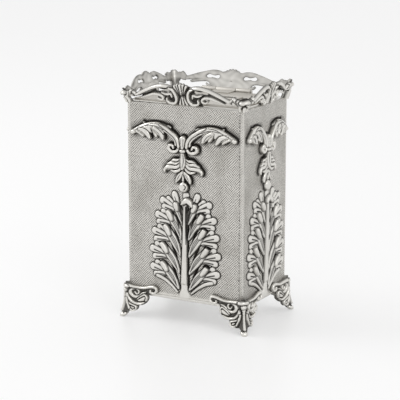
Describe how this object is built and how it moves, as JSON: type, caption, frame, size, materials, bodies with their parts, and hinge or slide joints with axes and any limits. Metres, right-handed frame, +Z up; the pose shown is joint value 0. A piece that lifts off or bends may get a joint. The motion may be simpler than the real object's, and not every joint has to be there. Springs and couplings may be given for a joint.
{
  "type": "charity box",
  "caption": "Four-sided silver charity box on cast feet, with raised palms, a pierced gallery round the top, and a hinged lid with a coin slot and a turning catch.",
  "frame": {"origin": "on the floor, under the middle of the box", "axes": "+Z up, +X to the right along the front, and the front faces -Y, with the hinge at the back"},
  "size_m": [0.0806, 0.0616, 0.1319],
  "materials": {
    "hatched_silver": "silver sheet with fine hand-cut cross-hatching, darkened in its grooves",
    "cast_silver": "cast silver, bright on its ridges and blackened in its hollows",
    "polished_silver": "plain polished silver"
  },
  "bodies": {
    "box": {"front_panel": "hatched_silver", "front_gallery": "cast_silver", "front_garland": "cast_silver", "right_panel": "hatched_silver", "right_gallery": "cast_silver", "right_garland": "cast_silver", "back_panel": "hatched_silver", "back_gallery": "cast_silver", "back_garland": "cast_silver", "left_panel": "hatched_silver", "left_gallery": "cast_silver", "left_garland": "cast_silver", "front_right_corner_strip": "polished_silver", "front_right_corner_leaf": "cast_silver", "front_right_foot": "cast_silver", "back_right_corner_strip": "polished_silver", "back_right_corner_leaf": "cast_silver", "back_right_foot": "cast_silver", "back_left_corner_strip": "polished_silver", "back_left_corner_leaf": "cast_silver", "back_left_foot": "cast_silver", "front_left_corner_strip": "polished_silver", "front_left_corner_leaf": "cast_silver", "front_left_foot": "cast_silver", "bottom_plate": "polished_silver", "top_frame": "polished_silver", "left_frame_knuckle": "polished_silver", "right_frame_knuckle": "polished_silver", "hinge_pin": "polished_silver"},
    "lid": {"lid": "polished_silver", "slot_frame": "polished_silver", "lid_knuckle": "polished_silver"},
    "catch": {"catch_knob": "polished_silver", "catch_collar": "polished_silver", "catch_arm": "polished_silver", "catch_nut": "polished_silver"}
  },
  "joints": [
    {"name": "lid_hinge", "type": "hinge", "parent": "box", "child": "lid", "pos_m": [0, 0.0214, 0.1212], "axis": [-1, 0, 0], "range_deg": [0, 125]},
    {"name": "catch_turn", "type": "hinge", "parent": "lid", "child": "catch", "pos_m": [0, -0.0148, 0.1209], "axis": [0, 0, -1], "range_deg": [0, 90]}
  ]
}
